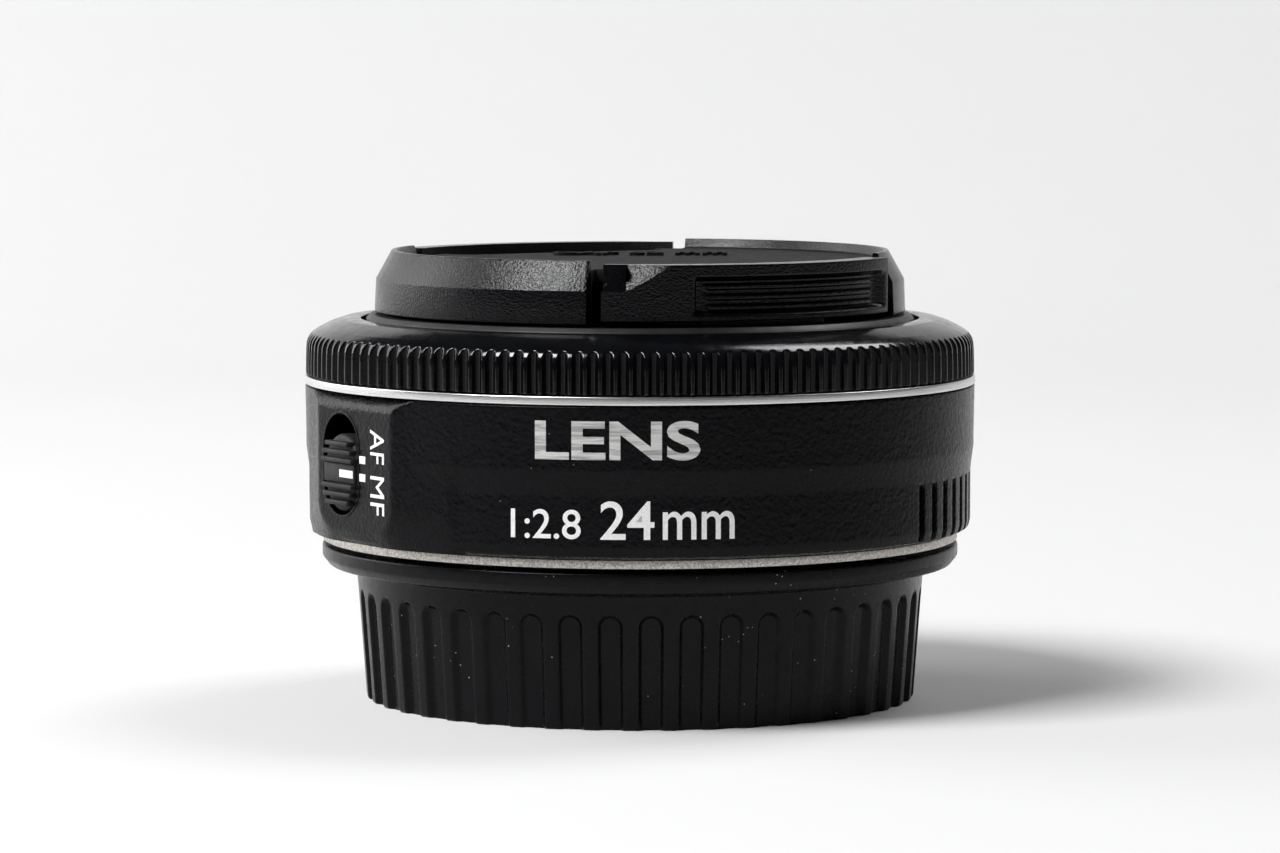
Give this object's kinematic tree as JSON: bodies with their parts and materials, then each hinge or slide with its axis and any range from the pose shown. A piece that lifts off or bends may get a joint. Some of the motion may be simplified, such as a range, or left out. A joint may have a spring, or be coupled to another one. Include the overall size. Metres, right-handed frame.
{
  "type": "prime camera lens",
  "caption": "Pancake wide-angle prime lens for a camera, standing on its rear cap, with a toothed focus ring, a focus mode switch, a bayonet mount and a pinch-type front cap.",
  "frame": {"origin": "centre of the rear cap's flat underside, on the optical axis", "axes": "+Z along the optical axis towards the subject; -Y towards the lettered side of the barrel; the mode switch is on the -X side"},
  "size_m": [0.0682, 0.0682, 0.0455],
  "materials": {
    "cap_plastic": "moulded satin",
    "bright_mount": "bead blasted",
    "screw_steel": "machined",
    "white_mark": "printed white",
    "baffle_black": "flocked black",
    "contact_gold": "gold plated",
    "flex_amber": "polyimide film",
    "barrel_black": "fine leather grain",
    "trim_silver": "turned",
    "ring_black": "satin",
    "inner_black": "matt",
    "gear_plastic": "natural",
    "brass": "machined",
    "motor_steel": "drawn can",
    "board_green": "solder mask",
    "front_black": "satin",
    "coated_glass": "multi-coated",
    "blade_black": "matt lacquer",
    "washer_steel": "stamped",
    "spring_steel": "drawn wire"
  },
  "bodies": {
    "rear_cap": {"rear_cap": "cap_plastic"},
    "barrel": {"outer_barrel": "barrel_black", "mount_ring": "bright_mount", "mount_screw_1": "screw_steel", "mount_screw_2": "screw_steel", "mount_screw_3": "screw_steel", "mount_screw_4": "screw_steel", "mount_index_mark": "white_mark", "rear_baffle": "baffle_black", "contact_block": "inner_black", "contact_strip": "contact_gold", "contact_flex": "flex_amber", "main_board": "board_green", "trim_ring": "trim_silver", "focus_ring_washer": "washer_steel", "focus_sensor": "inner_black", "switch_board": "board_green", "guide_barrel": "inner_black", "gear_cover": "inner_black", "gear_axle": "screw_steel", "focus_motor": "motor_steel"},
    "focus_ring": {"focus_ring": "ring_black"},
    "cam_barrel": {"cam_barrel": "gear_plastic"},
    "reduction_gear": {"reduction_gear": "gear_plastic"},
    "motor_pinion": {"motor_pinion": "brass"},
    "front_barrel": {"front_barrel": "front_black", "name_ring": "front_black", "lens_cell": "inner_black", "front_lens_holder": "inner_black", "rear_lens_holder": "inner_black", "lens_element_1": "coated_glass", "lens_element_2": "coated_glass", "lens_element_3": "coated_glass", "lens_element_4": "coated_glass", "lens_element_5": "coated_glass", "lens_element_6": "coated_glass", "front_retaining_ring": "baffle_black", "rear_retaining_ring": "baffle_black", "iris_base": "inner_black", "iris_cover": "inner_black", "iris_motor": "motor_steel", "cam_roller_1": "brass", "cam_roller_2": "brass", "cam_roller_3": "brass"},
    "iris_ring": {"iris_ring": "inner_black"},
    "iris_pinion": {"iris_pinion": "brass"},
    "iris_blade_1": {"iris_blade_1": "blade_black"},
    "iris_blade_2": {"iris_blade_2": "blade_black"},
    "iris_blade_3": {"iris_blade_3": "blade_black"},
    "iris_blade_4": {"iris_blade_4": "blade_black"},
    "iris_blade_5": {"iris_blade_5": "blade_black"},
    "iris_blade_6": {"iris_blade_6": "blade_black"},
    "iris_blade_7": {"iris_blade_7": "blade_black"},
    "af_mf_switch": {"af_mf_switch": "inner_black"},
    "front_cap": {"front_cap": "cap_plastic", "cap_back_plate": "cap_plastic", "cap_spring_a": "spring_steel", "cap_spring_b": "spring_steel"},
    "cap_lever_a": {"cap_lever_a": "cap_plastic"},
    "cap_lever_b": {"cap_lever_b": "cap_plastic"}
  },
  "joints": [
    {"name": "lens_lift", "type": "slide", "parent": "rear_cap", "child": "barrel", "axis": [0, 0, 1], "range_m": [0, 0.02]},
    {"name": "focus_ring_turn", "type": "hinge", "parent": "barrel", "child": "focus_ring", "pos_m": [0, 0, 0], "axis": [0, 0, 1], "continuous": true},
    {"name": "focus_drive", "type": "hinge", "parent": "barrel", "child": "cam_barrel", "pos_m": [0, 0, 0], "axis": [0, 0, 1], "range_deg": [0, 110.05]},
    {"name": "focus_extension", "type": "slide", "parent": "barrel", "child": "front_barrel", "axis": [0, 0, 1], "range_m": [0, 0.0065]},
    {"name": "reduction_gear_spin", "type": "hinge", "parent": "barrel", "child": "reduction_gear", "pos_m": [0.0104, 0.01801, 0], "axis": [0, 0, 1], "range_deg": [-1034.5, 0]},
    {"name": "motor_pinion_spin", "type": "hinge", "parent": "barrel", "child": "motor_pinion", "pos_m": [0.00741, 0.02177, 0], "axis": [0, 0, 1], "range_deg": [0, 2275.5]},
    {"name": "iris_turn", "type": "hinge", "parent": "front_barrel", "child": "iris_ring", "pos_m": [0, 0, 0], "axis": [0, 0, 1], "range_deg": [0, 30]},
    {"name": "iris_pinion_spin", "type": "hinge", "parent": "front_barrel", "child": "iris_pinion", "pos_m": [0.01039, -0.006, 0], "axis": [0, 0, 1], "range_deg": [-330.5, 0]},
    {"name": "iris_blade_1_turn", "type": "hinge", "parent": "front_barrel", "child": "iris_blade_1", "pos_m": [0.0086, 0, 0], "axis": [0, 0, 1], "range_deg": [0, 25.05]},
    {"name": "iris_blade_2_turn", "type": "hinge", "parent": "front_barrel", "child": "iris_blade_2", "pos_m": [0.00536, 0.00672, 0], "axis": [0, 0, 1], "range_deg": [0, 25.05]},
    {"name": "iris_blade_3_turn", "type": "hinge", "parent": "front_barrel", "child": "iris_blade_3", "pos_m": [-0.00191, 0.00838, 0], "axis": [0, 0, 1], "range_deg": [0, 25.05]},
    {"name": "iris_blade_4_turn", "type": "hinge", "parent": "front_barrel", "child": "iris_blade_4", "pos_m": [-0.00775, 0.00373, 0], "axis": [0, 0, 1], "range_deg": [0, 25.05]},
    {"name": "iris_blade_5_turn", "type": "hinge", "parent": "front_barrel", "child": "iris_blade_5", "pos_m": [-0.00775, -0.00373, 0], "axis": [0, 0, 1], "range_deg": [0, 25.05]},
    {"name": "iris_blade_6_turn", "type": "hinge", "parent": "front_barrel", "child": "iris_blade_6", "pos_m": [-0.00191, -0.00838, 0], "axis": [0, 0, 1], "range_deg": [0, 25.05]},
    {"name": "iris_blade_7_turn", "type": "hinge", "parent": "front_barrel", "child": "iris_blade_7", "pos_m": [0.00536, -0.00672, 0], "axis": [0, 0, 1], "range_deg": [0, 25.05]},
    {"name": "mode_switch_slide", "type": "slide", "parent": "barrel", "child": "af_mf_switch", "axis": [0, 0, 1], "range_m": [0, 0.00175]},
    {"name": "front_cap_pull", "type": "slide", "parent": "front_barrel", "child": "front_cap", "axis": [0, 0, 1], "range_m": [0, 0.02]},
    {"name": "cap_lever_a_press", "type": "slide", "parent": "front_cap", "child": "cap_lever_a", "axis": [-0.4924, 0.8704, 0], "range_m": [0, 0.0013], "stiffness_N_per_m": 400, "springref_m": -0.001, "deforming": ["cap_spring_a"]},
    {"name": "cap_lever_b_press", "type": "slide", "parent": "front_cap", "child": "cap_lever_b", "axis": [0.4924, -0.8704, 0], "range_m": [0, 0.0013], "stiffness_N_per_m": 400, "springref_m": -0.001, "deforming": ["cap_spring_b"]}
  ],
  "couplings": [
    {"joint": "focus_drive", "follows": "focus_extension", "rad_per_m": 295.36},
    {"joint": "reduction_gear_spin", "follows": "focus_extension", "rad_per_m": -2776.4},
    {"joint": "motor_pinion_spin", "follows": "focus_extension", "rad_per_m": 6108.1},
    {"joint": "iris_pinion_spin", "follows": "iris_turn", "ratio": -11},
    {"joint": "iris_blade_1_turn", "follows": "iris_turn", "ratio": 0.83333},
    {"joint": "iris_blade_2_turn", "follows": "iris_turn", "ratio": 0.83333},
    {"joint": "iris_blade_3_turn", "follows": "iris_turn", "ratio": 0.83333},
    {"joint": "iris_blade_4_turn", "follows": "iris_turn", "ratio": 0.83333},
    {"joint": "iris_blade_5_turn", "follows": "iris_turn", "ratio": 0.83333},
    {"joint": "iris_blade_6_turn", "follows": "iris_turn", "ratio": 0.83333},
    {"joint": "iris_blade_7_turn", "follows": "iris_turn", "ratio": 0.83333}
  ]
}
